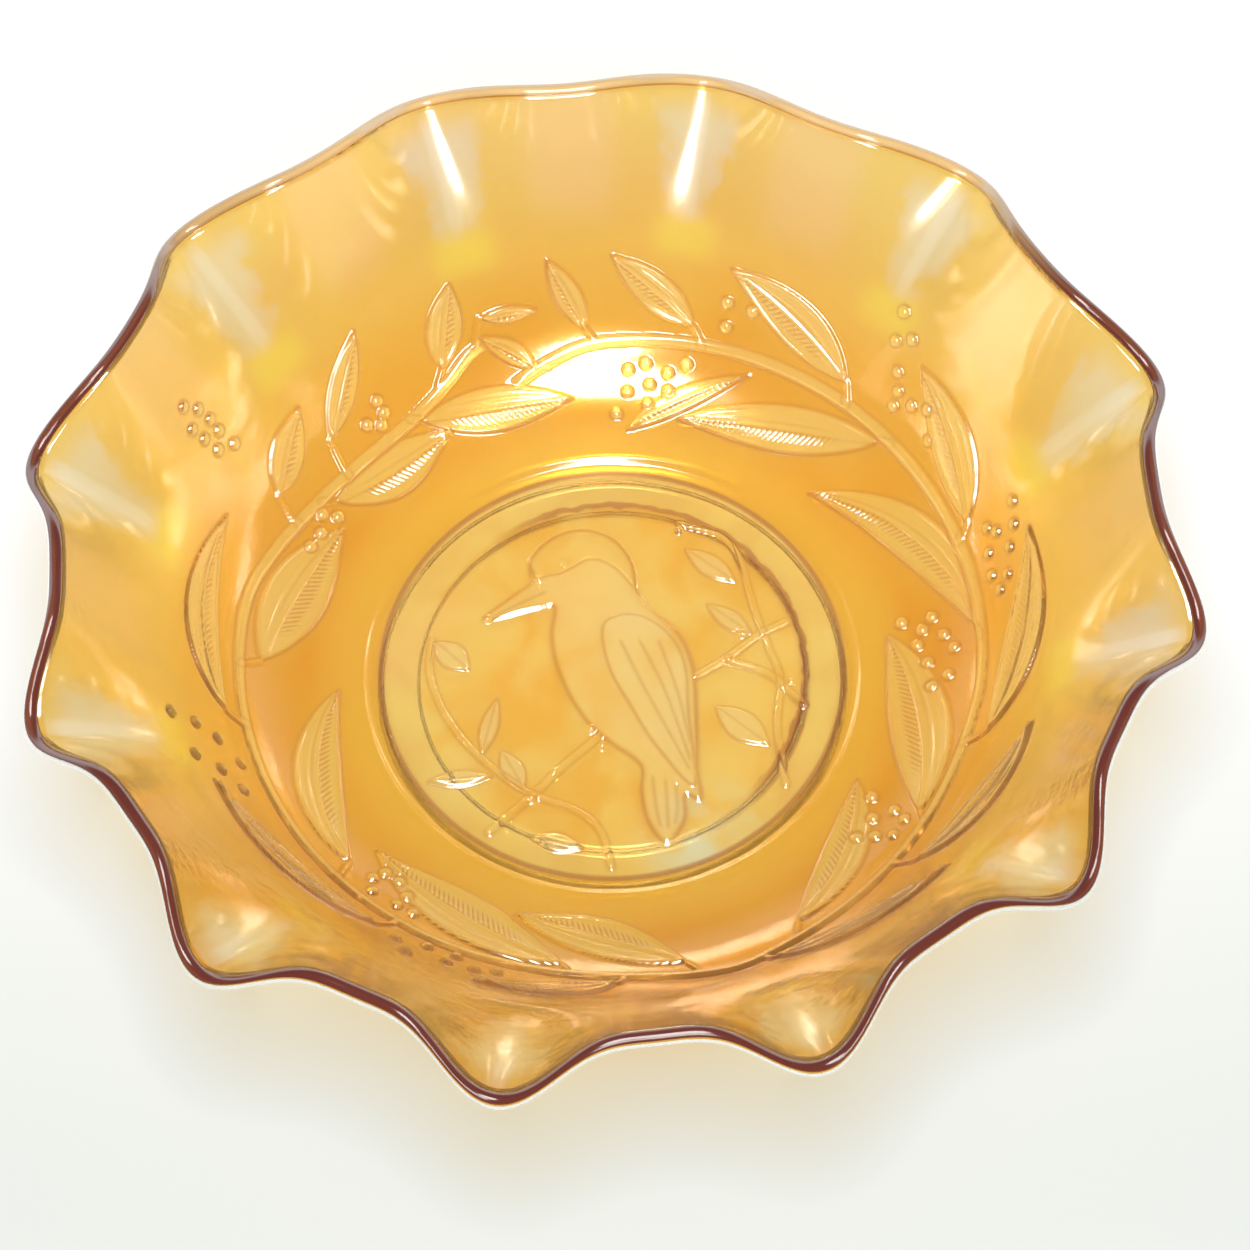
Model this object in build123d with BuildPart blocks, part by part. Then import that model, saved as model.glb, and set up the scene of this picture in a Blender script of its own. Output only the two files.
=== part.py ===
"""Ruffled carnival glass bowl: a pressed glass bowl on a low collar base.

The bowl stands on its foot ring. The origin is the centre of the ring's resting face, +Z is up, and +Y
points to the side opposite the viewer who looks at the bird the right way up.
The wall is described by two coordinates: the azimuth about Z, in degrees from +X, and the distance along
the inner profile from the ridge that surrounds the floor, in mm.
"""

from build123d import *
from math import atan2, cos, hypot, radians, sin, tan
import os

os.makedirs("parts", exist_ok=True)

# ---------------------------------------------------------------- driving dimensions, mm and degrees

foot_radius = 48.5          # outside of the collar base
foot_bore_radius = 41.0     # inside of the collar base
foot_height = 3.2
foot_rounding = 0.9
floor_top = 7.0             # level of the floor inside the bowl
step_radius = 51.2          # where the flat floor meets the ridge around it
ridge_radius = 52.6
ridge_top = 7.7
bend_radius = 75.0          # the two straight stretches of the wall would meet here
bend_height = 12.9
bend_rounding = 32.0
border_radius = 89.5        # where the smooth wall ends and the ruffles begin
border_height = 32.8
rim_mean_radius = 114.1     # outer edge of the lip, averaged around the bowl
rim_mean_height = 61.6
wall_thickness = 3.4
lip_radius = 1.7            # half the thickness of the fire-polished lip

ruffle_count = 12
ruffle_phase = 18.85        # azimuth of the first outward lobe
ruffle_reach = 4.86         # how far the lobes stand out and the hollows stand in
ruffle_reach_sharpness = 1.0
ruffle_drop = 4.23          # how far the lobes hang down and the hollows rise
ruffle_drop_sharpness = -1.39
ruffle_growth = 1.6         # exponent of the ruffles' growth from the border to the lip
rim_oval = 1.0              # hand finishing leaves the rim slightly oval
rim_oval_azimuth = 51.0
rim_tilt = 1.0              # and slightly tilted
rim_tilt_azimuth = 142.0
rim_warp = 1.1              # and slightly warped
rim_warp_azimuth = -27.5

section_step = 1.25         # azimuth between the profile sections of the border
profile_stations = (0.0, 0.25, 0.5, 0.75, 1.0)

relief_height = 0.9         # how far leaves stand out of the wall
relief_root = 0.4           # how deep they are fused into it
prism_depth = 9.0
stem_radius = 1.1
stem_sections_per_loft = 7
berry_radius = 1.35
medal_height = 0.8          # relief of the floor medallion
wing_height = 1.3
twig_width = 1.2

# ---------------------------------------------------------------- wreath layout: (azimuth, distance)

stem_route = (
    (112, 29), (117, 25), (123, 22), (130, 20.5), (140, 20.6), (150, 22), (160, 24.5), (170, 27),
    (185, 27.3), (200, 27), (220, 26.3), (240, 24.5), (255, 23.2), (268, 23.2), (278, 25), (288, 28),
    (297, 26.2), (310, 25.2), (325, 24.8), (340, 25), (352, 26.6), (365, 27), (385, 27.2), (405, 27.6),
    (425, 27.6), (440, 27), (452, 25.8), (459, 23.2), (465, 20.2),
)
# leaves as (base azimuth, base distance, tip azimuth, tip distance, belly above, belly below the chord)
inner_leaves = (
    (2, 26, 44, 7, 7.5, 3.5), (40, 26, 76, 10, 2.5, 8.5), (86, 6, 65, 24, 2.5, 3.0),
    (124, 20, 96, 14, 3.5, 7.0), (146, 19, 120, 15, 3.0, 8.5), (180, 22, 149, 14, 5.5, 8.5),
    (221, 20, 184, 5, 7.0, 3.5), (261, 20, 221, 13, 4.0, 8.5), (281, 21, 250, 9, 1.5, 9.0),
    (300, 21, 331, 5, 5.0, 4.5), (328, 22, 366, 6, 6.0, 7.5),
)
outer_leaves = (
    (-17, 31, 12, 46, 7.0, 5.0), (19, 31, 41, 46, 5.5, 6.0), (50, 32, 72, 46, 5.5, 5.5),
    (76, 31, 89, 46, 4.0, 4.5), (93, 29, 98, 46, 3.0, 3.0), (109, 36, 100, 35, 1.6, 2.4),
    (102, 22, 110, 32, 2.8, 2.4), (117, 28, 112, 46, 4.2, 4.2), (139, 29, 127, 46, 2.2, 4.8),
    (152, 30, 140, 40, 4.0, 5.0), (191, 32, 160, 39, 8.5, 1.5), (233, 31, 204, 44, 5.0, 4.5),
    (270, 26, 250, 38, 4.0, 3.5), (293, 30, 318, 45, 4.0, 5.0), (319, 31, 342, 46, 6.5, 3.0),
)
berries = (
    (353, 15), (355, 18.5), (358, 14), (0, 20), (2, 12), (3, 18), (7, 16), (7.5, 9.5), (5, 13.5),
    (6, 33.5), (7.5, 36.5), (9, 32), (11, 39), (12.5, 33), (13.5, 42), (14.5, 37), (16, 35), (16.5, 44),
    (33.5, 34), (36.5, 39), (41.5, 34), (39, 37), (43.5, 41), (42, 37.5), (46, 46.5), (47, 53), (44, 49),
    (67.5, 37.5), (71.5, 38), (71, 32.5),
    (76, 22.5), (79, 20), (83, 21.5), (86, 20), (78.5, 16), (82, 17), (86, 15), (82, 12.5), (88, 10),
    (129, 29), (129, 26), (132.5, 26), (130.5, 24),
    (149.5, 19.5), (148, 16.5), (152.5, 17.5), (155.8, 18),
    (151.5, 46), (154, 48.5), (152, 51), (154.5, 53), (152, 54.5), (155, 57), (152.5, 58.5), (154, 62),
    (194.5, 50), (195, 43), (200.5, 46.5), (202, 39.5), (196.5, 37), (205, 35), (200, 32),
    (225.5, 18.5), (227.5, 21.5), (229, 15), (232, 17), (232, 20.5), (235, 20), (226, 15.5),
    (237, 32), (240, 36.5), (241, 28), (245, 31.5), (249, 30), (245.5, 27), (252, 28),
    (319, 13), (321, 16), (322.5, 19.5), (324, 13), (327, 16), (326, 19.5), (328, 10),
)

# ---------------------------------------------------------------- the wall as a formula

low_angle = atan2(bend_height - ridge_top, bend_radius - ridge_radius)
high_angle = atan2(border_height - bend_height, border_radius - bend_radius)
turn = high_angle - low_angle
tangent_length = bend_rounding * tan(turn / 2)
low_length = hypot(bend_radius - ridge_radius, bend_height - ridge_top) - tangent_length
bend_length = bend_rounding * turn
bend_start = (ridge_radius + low_length * cos(low_angle), ridge_top + low_length * sin(low_angle))
bend_centre = (
    bend_start[0] - bend_rounding * sin(low_angle),
    bend_start[1] + bend_rounding * cos(low_angle),
)
border_distance = (
    low_length + bend_length
    + hypot(border_radius - bend_radius, border_height - bend_height) - tangent_length
)
# outward normal of the straight upper wall, as (radius, height)
out_r = sin(high_angle)
out_z = -cos(high_angle)
lip_mean_radius = rim_mean_radius - lip_radius
border_length = (
    (lip_mean_radius - border_radius) * cos(high_angle)
    + (rim_mean_height - border_height) * sin(high_angle)
)


def lip_centre(azimuth):
    """(radius, height) of the lip's centre line."""
    wave = radians(ruffle_count * (azimuth - ruffle_phase))
    oval = rim_oval * cos(radians(2 * (azimuth - rim_oval_azimuth)))
    tilt = rim_tilt * cos(radians(azimuth - rim_tilt_azimuth))
    warp = rim_warp * cos(radians(2 * (azimuth - rim_warp_azimuth)))
    radius = lip_mean_radius + ruffle_reach * cos(wave) + ruffle_reach_sharpness * cos(2 * wave) + oval
    height = rim_mean_height - ruffle_drop * cos(wave) + ruffle_drop_sharpness * cos(2 * wave) + tilt + warp
    return radius, height


def border_point(share, azimuth, depth):
    """(radius, height) in the ruffled border: share runs 0..1 up the wall, depth inwards from the inside."""
    top_r, top_z = lip_centre(azimuth)
    half = wall_thickness / 2
    straight_r = border_radius + border_length * cos(high_angle) * share
    straight_z = border_height + border_length * sin(high_angle) * share
    full_r = border_radius + border_length * cos(high_angle)
    full_z = border_height + border_length * sin(high_angle)
    growth = share ** ruffle_growth
    radius = straight_r + growth * (top_r - out_r * half - full_r) + depth * out_r
    height = straight_z + growth * (top_z - out_z * half - full_z) + depth * out_z
    return radius, height


def wall_point(azimuth, distance):
    """Point on the inner surface."""
    if distance <= low_length:
        radius = ridge_radius + distance * cos(low_angle)
        height = ridge_top + distance * sin(low_angle)
    elif distance <= low_length + bend_length:
        slope = low_angle + (distance - low_length) / bend_rounding
        radius = bend_centre[0] + bend_rounding * sin(slope)
        height = bend_centre[1] - bend_rounding * cos(slope)
    else:
        share = max((distance - border_distance) / border_length, 0.0)
        short = min(distance - border_distance, 0.0)
        radius, height = border_point(share, azimuth, 0.0)
        radius += short * cos(high_angle)
        height += short * sin(high_angle)
    angle = radians(azimuth)
    return Vector(radius * cos(angle), radius * sin(angle), height)


def wall_slope(distance):
    """Angle of the inner profile above the horizontal, in radians."""
    return low_angle + min(max((distance - low_length) / bend_rounding, 0.0), turn)


def wall_plane(azimuth, distance):
    """Plane tangent to the inner surface: X towards smaller azimuth, Y up the wall, Z into the bowl."""
    angle = radians(azimuth)
    slope = wall_slope(distance)
    inward = Vector(-sin(slope) * cos(angle), -sin(slope) * sin(angle), cos(slope))
    return Plane(
        origin=wall_point(azimuth, distance),
        x_dir=Vector(sin(angle), -cos(angle), 0),
        z_dir=inward,
    )


def radial_plane(azimuth):
    """Vertical plane through the axis: local X is the radius and local Y the height."""
    angle = radians(azimuth)
    return Plane(origin=(0, 0, 0), x_dir=(cos(angle), sin(angle), 0), z_dir=(sin(angle), -cos(angle), 0))


def offset_bend(depth):
    """Where the wall's two straight stretches meet, moved outwards by depth."""
    share = depth / (1 + cos(turn))
    radius = bend_radius + share * (sin(low_angle) + sin(high_angle))
    height = bend_height - share * (cos(low_angle) + cos(high_angle))
    return radius, height


def finish(builder, name):
    """Labels the piece and writes it as one STEP file."""
    builder.part.label = name
    export_step(builder.part, f"parts/{name}.step")


# ---------------------------------------------------------------- collar base and floor

with BuildPart() as foot_ring:
    with BuildSketch(Plane.XZ):
        with Locations(((foot_radius + foot_bore_radius) / 2, foot_height / 2)):
            Rectangle(foot_radius - foot_bore_radius, foot_height)
    revolve(axis=Axis.Z)
    fillet(foot_ring.edges().group_by(Axis.Z)[0], foot_rounding)
finish(foot_ring, "foot_ring")

with BuildPart() as floor_disc:
    with BuildSketch(Plane.XY.offset(foot_height)):
        Circle(foot_radius)
    extrude(amount=floor_top - foot_height)
finish(floor_disc, "floor_disc")

# ---------------------------------------------------------------- smooth lower wall

with BuildPart() as bowl_wall:
    with BuildSketch(Plane.XZ):
        with BuildLine():
            top_inside = (border_radius, border_height)
            top_outside = (border_radius + wall_thickness * out_r, border_height + wall_thickness * out_z)
            Polyline((foot_radius, floor_top), (step_radius, floor_top), (ridge_radius, ridge_top))
            FilletPolyline((ridge_radius, ridge_top), (bend_radius, bend_height), top_inside,
                           radius=bend_rounding)
            Line(top_inside, top_outside)
            FilletPolyline(top_outside, offset_bend(wall_thickness), (foot_radius, foot_height),
                           radius=bend_rounding + wall_thickness)
            Line((foot_radius, foot_height), (foot_radius, floor_top))
        make_face()
    revolve(axis=Axis.Z)
finish(bowl_wall, "bowl_wall")

# ---------------------------------------------------------------- ruffled border and its lip

sector = 360 / ruffle_count
sector_start = ruffle_phase - sector / 4
sections_per_sector = round(sector / section_step)


def border_section(azimuth):
    """Profile of the ruffled border at one azimuth."""
    with BuildSketch(radial_plane(azimuth)) as section:
        with BuildLine():
            inside = [border_point(share, azimuth, 0) for share in profile_stations]
            outside = [border_point(share, azimuth, wall_thickness) for share in reversed(profile_stations)]
            Spline(*inside)
            Line(inside[-1], outside[0])
            Spline(*outside)
            Line(outside[-1], inside[0])
        make_face()
    return section.sketch


def lip_section(azimuth):
    """Profile of the rounded lip at one azimuth."""
    centre_r, centre_z = lip_centre(azimuth)
    crown = (centre_r + lip_radius * cos(high_angle), centre_z + lip_radius * sin(high_angle))
    with BuildSketch(radial_plane(azimuth)) as section:
        with BuildLine():
            inside = border_point(1.0, azimuth, 0)
            outside = border_point(1.0, azimuth, wall_thickness)
            Line(inside, outside)
            ThreePointArc(outside, crown, inside)
        make_face()
    return section.sketch


with BuildPart() as ruffled_border:
    for ruffle in range(ruffle_count):
        start = sector_start + sector * ruffle
        loft([border_section(start + section_step * step) for step in range(sections_per_sector + 1)])
finish(ruffled_border, "ruffled_border")

# the lip is one solid per ruffle, each meeting the next on a radial plane
lip_pieces = []
for ruffle in range(ruffle_count):
    start = sector_start + sector * ruffle
    with BuildPart() as lip_piece:
        loft([lip_section(start + section_step * step) for step in range(sections_per_sector + 1)])
    lip_pieces.append(lip_piece.part.solid())
rim_lip = Compound(label="rim_lip", children=lip_pieces)
export_step(rim_lip, "parts/rim_lip.step")

# ---------------------------------------------------------------- wreath moulded on the inner wall

with BuildPart() as relief_band:
    with BuildSketch(Plane.XZ):
        with BuildLine():
            low = radians(90) + low_angle
            high = radians(90) + high_angle
            ends = []
            for depth in (-relief_height, relief_root):
                start = (ridge_radius - depth * cos(low), ridge_top - depth * sin(low))
                end = (border_radius - depth * cos(high), border_height - depth * sin(high))
                FilletPolyline(start, offset_bend(depth), end, radius=bend_rounding + depth)
                ends.append((start, end))
            Line(ends[0][0], ends[1][0])
            Line(ends[0][1], ends[1][1])
        make_face()
    revolve(axis=Axis.Z)


def leaf_outline(base_azimuth, base_distance, tip_azimuth, tip_distance, above, below):
    """Lens-shaped outline on the wall's tangent plane at the middle of the leaf."""
    mid_azimuth = (base_azimuth + tip_azimuth) / 2
    mid_distance = (base_distance + tip_distance) / 2
    half_width = abs(tip_azimuth - base_azimuth) / 2
    reach = wall_point(0, mid_distance).X * sin(radians(half_width))
    rise = (tip_distance - base_distance) / 2
    run = reach if tip_azimuth < base_azimuth else -reach
    chord = hypot(run, rise)
    across = (-rise / chord, run / chord) if run > 0 else (rise / chord, -run / chord)
    with BuildSketch(wall_plane(mid_azimuth, mid_distance)) as outline:
        with BuildLine():
            base = (-run, -rise)
            tip = (run, rise)
            ThreePointArc(base, (across[0] * above, across[1] * above), tip)
            ThreePointArc(tip, (-across[0] * below, -across[1] * below), base)
        make_face()
    return outline.sketch


with BuildPart() as inner_leaf_ring:
    for leaf in inner_leaves:
        extrude(leaf_outline(*leaf), amount=prism_depth, both=True)
    add(relief_band.part, mode=Mode.INTERSECT)
finish(inner_leaf_ring, "inner_leaves")

with BuildPart() as outer_leaf_ring:
    for leaf in outer_leaves:
        extrude(leaf_outline(*leaf), amount=prism_depth, both=True)
    add(relief_band.part, mode=Mode.INTERSECT)
finish(outer_leaf_ring, "outer_leaves")



def stem_section(azimuth, distance):
    """Round section of the stem at one point of its route."""
    centre = wall_point(0, distance)
    with BuildSketch(radial_plane(azimuth)) as section:
        with Locations((centre.X, centre.Z)):
            Circle(stem_radius)
    return section.sketch


with BuildPart() as wreath_stem:
    for first in range(0, len(stem_route) - 1, stem_sections_per_loft):
        points = stem_route[first:first + stem_sections_per_loft + 1]
        loft([stem_section(*point) for point in points])
finish(wreath_stem, "wreath_stem")

with BuildPart() as berry_clusters:
    with Locations(*[wall_point(azimuth, distance) for azimuth, distance in berries]):
        Sphere(berry_radius)
finish(berry_clusters, "berry_clusters")

# ---------------------------------------------------------------- medallion moulded on the floor

bird_outline = (
    (-27, 12.8), (-21, 18.2), (-16.5, 22.2), (-17, 27), (-12.5, 32.2), (-6, 34.3), (0.5, 32), (4.6, 26),
    (5.6, 19), (8.5, 14.5), (14, 8.5), (17, 0), (17.4, -12), (17.2, -24), (17.8, -31), (14.6, -30),
    (14.2, -36), (10.5, -41), (6.8, -36), (5.6, -29), (5.6, -23), (0, -18), (-4.6, -13.4), (-9, -6),
    (-11.8, 2), (-12.6, 9), (-12, 15.5), (-16, 15.2),
)
wing_outline = ((-1.8, 9.5), (2, 12.6), (7, 12.2), (12.5, 7.5), (15.4, 0), (15.8, -12), (16.6, -28))
wing_fold = ((16.6, -28), (9, -19), (3.5, -9), (-0.6, 0), (-1.8, 9.5))
perch_left = ((-26, -37.5), (-17, -29.3), (-10.5, -22.5), (-2, -15))
perch_right = ((16, -3), (24, 2), (31, 7.5), (37, 10.5))
perch_twig = ((24.5, 1.6), (33, -2), (40, -9.5))
left_stem = ((-38, 8), (-38.4, 0), (-35, -10), (-28, -20), (-18, -28.5), (-8, -33), (-3, -38), (-1, -46))
right_stem = ((15, 35.5), (24.5, 32), (28, 25), (30.2, 15), (33, 5), (35.3, -3), (34.2, -15), (35.5, -28))
# sprig leaves as (base x, base y, tip x, tip y, half width)
left_sprig_leaves = (
    (-30, 0.5, -37.5, 8, 3.0), (-27.6, -20, -24.2, -6, 1.9), (-18.6, -28, -23.5, -18.5, 2.4),
    (-25, -24.6, -39, -25.5, 2.0), (-6.5, -41.8, -17.5, -39, 2.3),
)
right_sprig_leaves = (
    (27, 20.4, 16, 29.4, 2.6), (30, 7.6, 20.2, 15.6, 2.2), (32.6, -19, 21.4, -9.2, 3.4),
)
medal_plane = Plane.XY.offset(floor_top)


def twig(points, width):
    """Flat ribbon sketch that follows a smooth line."""
    with BuildLine(mode=Mode.PRIVATE) as route:
        Spline(*points)
    trace(route.line, line_width=width)


def sprig_leaf(base_x, base_y, tip_x, tip_y, half_width):
    """Lens-shaped leaf between two points."""
    length = hypot(tip_x - base_x, tip_y - base_y)
    across_x = -(tip_y - base_y) / length * half_width
    across_y = (tip_x - base_x) / length * half_width
    mid_x = (base_x + tip_x) / 2
    mid_y = (base_y + tip_y) / 2
    with BuildLine(mode=Mode.PRIVATE) as outline:
        ThreePointArc((base_x, base_y), (mid_x + across_x, mid_y + across_y), (tip_x, tip_y))
        ThreePointArc((tip_x, tip_y), (mid_x - across_x, mid_y - across_y), (base_x, base_y))
    make_face(outline.edges())


with BuildPart() as bird_figure:
    with BuildSketch(medal_plane):
        with BuildLine():
            Polyline(*bird_outline, close=True)
        make_face()
    extrude(amount=medal_height)
    with BuildSketch(medal_plane):
        with BuildLine():
            Spline(*wing_outline)
            Spline(*wing_fold)
        make_face()
    extrude(amount=wing_height)
    with BuildSketch(medal_plane.offset(medal_height)):
        with Locations((-9.8, 25.3)):
            Circle(1.1)
    extrude(amount=-medal_height / 2, mode=Mode.SUBTRACT)
finish(bird_figure, "bird_figure")

with BuildPart() as perch_branch:
    with BuildSketch(medal_plane):
        twig(perch_left, twig_width)
        twig(perch_right, twig_width)
        twig(perch_twig, twig_width)
    extrude(amount=medal_height)
    add(bird_figure.part, mode=Mode.SUBTRACT)
finish(perch_branch, "perch_branch")

with BuildPart() as left_sprig:
    with BuildSketch(medal_plane):
        twig(left_stem, twig_width)
        for leaf in left_sprig_leaves:
            sprig_leaf(*leaf)
    extrude(amount=medal_height)
    add(perch_branch.part, mode=Mode.SUBTRACT)
finish(left_sprig, "left_sprig")

with BuildPart() as right_sprig:
    with BuildSketch(medal_plane):
        twig(right_stem, twig_width)
        for leaf in right_sprig_leaves:
            sprig_leaf(*leaf)
    extrude(amount=medal_height)
    add(perch_branch.part, mode=Mode.SUBTRACT)
finish(right_sprig, "right_sprig")
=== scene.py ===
from math import atan2, cos, hypot, pi, radians, sin, tan

import bpy
import numpy as np
from mathutils import Matrix, Vector


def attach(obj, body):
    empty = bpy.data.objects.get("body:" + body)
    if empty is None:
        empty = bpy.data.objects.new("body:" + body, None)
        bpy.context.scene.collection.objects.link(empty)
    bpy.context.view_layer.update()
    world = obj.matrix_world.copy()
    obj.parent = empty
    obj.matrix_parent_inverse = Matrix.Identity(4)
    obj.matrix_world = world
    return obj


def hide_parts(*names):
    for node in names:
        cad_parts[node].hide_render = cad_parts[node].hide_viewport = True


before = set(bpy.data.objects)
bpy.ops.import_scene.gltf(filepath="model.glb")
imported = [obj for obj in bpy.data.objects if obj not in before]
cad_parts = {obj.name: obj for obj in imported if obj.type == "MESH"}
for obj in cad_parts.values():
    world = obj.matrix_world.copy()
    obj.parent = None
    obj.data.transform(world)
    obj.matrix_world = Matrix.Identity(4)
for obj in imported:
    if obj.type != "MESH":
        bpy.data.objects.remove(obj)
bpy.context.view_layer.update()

# Ruffled carnival glass bowl. Lengths are in mm and angles in degrees until a mesh is written in metres.
# The wall is described by the azimuth about Z and the distance along its inner profile from the ridge
# around the floor, the same two coordinates that the CAD model uses.
MM = 0.001

# ------------------------------------------------------------------ driving sizes

foot_radius = 48.5
foot_bore_radius = 41.0
foot_height = 3.2
foot_rounding = 0.9
floor_top = 7.0
ridge_radius = 52.6
ridge_top = 7.7
bend_radius = 75.0
bend_height = 12.9
bend_rounding = 32.0
border_radius = 89.5
border_height = 32.8
rim_mean_radius = 114.1
rim_mean_height = 61.6
wall_thickness = 3.4
lip_radius = 1.7
ruffle_count = 12
ruffle_phase = 18.85
ruffle_reach = 4.86
ruffle_reach_sharpness = 1.0
ruffle_drop = 4.23
ruffle_drop_sharpness = -1.39
ruffle_growth = 1.6
oval_reach, oval_azimuth = 1.0, 51.0
tilt_height, tilt_azimuth = 1.0, 142.0
warp_height, warp_azimuth = 1.1, -27.5
berry_radius = 1.35
stem_half_width = 1.35
stem_mean_radius = 76.0
ridge_rise, ridge_width = 0.28, 0.55

# spacing of the glass skin's rings, and how many points go round it
FLOOR_STEP, WREATH_STEP, BORDER_STEP, OUTER_STEP, UNDERSIDE_STEP = 0.38, 0.36, 0.8, 0.9, 1.4
FINE_COLUMNS, COLUMNS = 1440, 720
WREATH_TOP = 66.0

low_angle = atan2(bend_height - ridge_top, bend_radius - ridge_radius)
high_angle = atan2(border_height - bend_height, border_radius - bend_radius)
turn = high_angle - low_angle
tangent_length = bend_rounding * tan(turn / 2)
low_length = hypot(bend_radius - ridge_radius, bend_height - ridge_top) - tangent_length
bend_length = bend_rounding * turn
bend_start_r = ridge_radius + low_length * cos(low_angle)
bend_start_z = ridge_top + low_length * sin(low_angle)
bend_centre_r = bend_start_r - bend_rounding * sin(low_angle)
bend_centre_z = bend_start_z + bend_rounding * cos(low_angle)
border_start = (
    low_length + bend_length
    + hypot(border_radius - bend_radius, border_height - bend_height) - tangent_length
)
lip_mean_radius = rim_mean_radius - lip_radius
border_length = (
    (lip_mean_radius - border_radius) * cos(high_angle)
    + (rim_mean_height - border_height) * sin(high_angle)
)
wall_end = border_start + border_length

# ------------------------------------------------------------------ wreath layout, as in the CAD model

stem_route = (
    (108, 30.5), (112, 29), (117, 25), (123, 22), (130, 20.5), (140, 20.6), (150, 22), (160, 24.5),
    (170, 27), (185, 27.3), (200, 27), (220, 26.3), (240, 24.5), (255, 23.2), (268, 23.2), (278, 25),
    (288, 28), (297, 26.2), (310, 25.2), (325, 24.8), (340, 25), (352, 26.6), (365, 27), (385, 27.2),
    (405, 27.6), (425, 27.6), (440, 27), (452, 25.8), (459, 23.2), (465, 20.2), (468, 19),
)
# leaves as (base azimuth, base distance, tip azimuth, tip distance, belly above, belly below the chord)
inner_leaves = (
    (2, 26, 44, 7, 7.5, 3.5), (40, 26, 76, 10, 2.5, 8.5), (86, 6, 65, 24, 2.5, 3.0),
    (124, 20, 96, 14, 3.5, 7.0), (146, 19, 120, 15, 3.0, 8.5), (180, 22, 149, 14, 5.5, 8.5),
    (221, 20, 184, 5, 7.0, 3.5), (261, 20, 221, 13, 4.0, 8.5), (281, 21, 250, 9, 1.5, 9.0),
    (300, 21, 331, 5, 5.0, 4.5), (328, 22, 366, 6, 6.0, 7.5),
)
outer_leaves = (
    (-17, 31, 12, 46, 7.0, 5.0), (19, 31, 41, 46, 5.5, 6.0), (50, 32, 72, 46, 5.5, 5.5),
    (76, 31, 89, 46, 4.0, 4.5), (93, 29, 98, 46, 3.0, 3.0), (109, 36, 100, 35, 1.6, 2.4),
    (102, 22, 110, 32, 2.8, 2.4), (117, 28, 112, 46, 4.2, 4.2), (139, 29, 127, 46, 2.2, 4.8),
    (152, 30, 140, 40, 4.0, 5.0), (191, 32, 160, 39, 8.5, 1.5), (233, 31, 204, 44, 5.0, 4.5),
    (270, 26, 250, 38, 4.0, 3.5), (293, 30, 318, 45, 4.0, 5.0), (319, 31, 342, 46, 6.5, 3.0),
)
berries = (
    (353, 15), (355, 18.5), (358, 14), (0, 20), (2, 12), (3, 18), (7, 16), (7.5, 9.5), (5, 13.5),
    (6, 33.5), (7.5, 36.5), (9, 32), (11, 39), (12.5, 33), (13.5, 42), (14.5, 37), (16, 35), (16.5, 44),
    (33.5, 34), (36.5, 39), (41.5, 34), (39, 37), (43.5, 41), (42, 37.5), (46, 46.5), (47, 53), (44, 49),
    (67.5, 37.5), (71.5, 38), (71, 32.5),
    (76, 22.5), (79, 20), (83, 21.5), (86, 20), (78.5, 16), (82, 17), (86, 15), (82, 12.5), (88, 10),
    (129, 29), (129, 26), (132.5, 26), (130.5, 24),
    (149.5, 19.5), (148, 16.5), (152.5, 17.5), (155.8, 18),
    (151.5, 46), (154, 48.5), (152, 51), (154.5, 53), (152, 54.5), (155, 57), (152.5, 58.5), (154, 62),
    (194.5, 50), (195, 43), (200.5, 46.5), (202, 39.5), (196.5, 37), (205, 35), (200, 32),
    (225.5, 18.5), (227.5, 21.5), (229, 15), (232, 17), (232, 20.5), (235, 20), (226, 15.5),
    (237, 32), (240, 36.5), (241, 28), (245, 31.5), (249, 30), (245.5, 27), (252, 28),
    (319, 13), (321, 16), (322.5, 19.5), (324, 13), (327, 16), (326, 19.5), (328, 10),
)

# ------------------------------------------------------------------ medallion layout, (x, y) on the floor

bird_outline = (
    (-27, 12.8), (-21, 18.2), (-16.5, 22.2), (-17, 27), (-12.5, 32.2), (-6, 34.3), (0.5, 32), (4.6, 26),
    (5.6, 19), (8.5, 14.5), (14, 8.5), (17, 0), (17.4, -12), (17.2, -24), (17.8, -31), (14.6, -30),
    (14.2, -36), (10.5, -41), (6.8, -36), (5.6, -29), (5.6, -23), (0, -18), (-4.6, -13.4), (-9, -6),
    (-11.8, 2), (-12.6, 9), (-12, 15.5), (-16, 15.2),
)
cap_outline = (
    (-16.5, 22.2), (-17, 27), (-12.5, 32.2), (-6, 34.3), (0.5, 32), (4.6, 26), (5.2, 20), (1, 24.5),
    (-4, 26.5), (-10, 23.4), (-13, 23),
)
wing_outline = (
    (-1.8, 9.5), (2, 12.6), (7, 12.2), (12.5, 7.5), (15.4, 0), (15.8, -12), (16.6, -28), (9, -19),
    (3.5, -9), (-0.6, 0),
)
feather_lines = (
    ((2, 6), (7, -6), (15.4, -24)), ((6, 6), (11, -6), (15.8, -22)), ((10, 6), (13.6, -6), (15.9, -18)),
    ((8, -26), (8.4, -32), (9.2, -37)), ((10.6, -27), (10.8, -33), (10.9, -37.5)),
    ((12.8, -28), (12.9, -33), (12.4, -36.5)),
)
perch_lines = (
    ((-26, -37.5), (-17, -29.3), (-10.5, -22.5), (-2, -15)),
    ((16, -3), (24, 2), (31, 7.5), (37, 10.5)),
    ((24.5, 1.6), (33, -2), (40, -9.5)),
)
left_stem = ((-38, 8), (-38.4, 0), (-35, -10), (-28, -20), (-18, -28.5), (-8, -33), (-3, -38), (-1, -46))
right_stem = ((15, 35.5), (24.5, 32), (28, 25), (30.2, 15), (33, 5), (35.3, -3), (34.2, -15), (35.5, -28))
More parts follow.
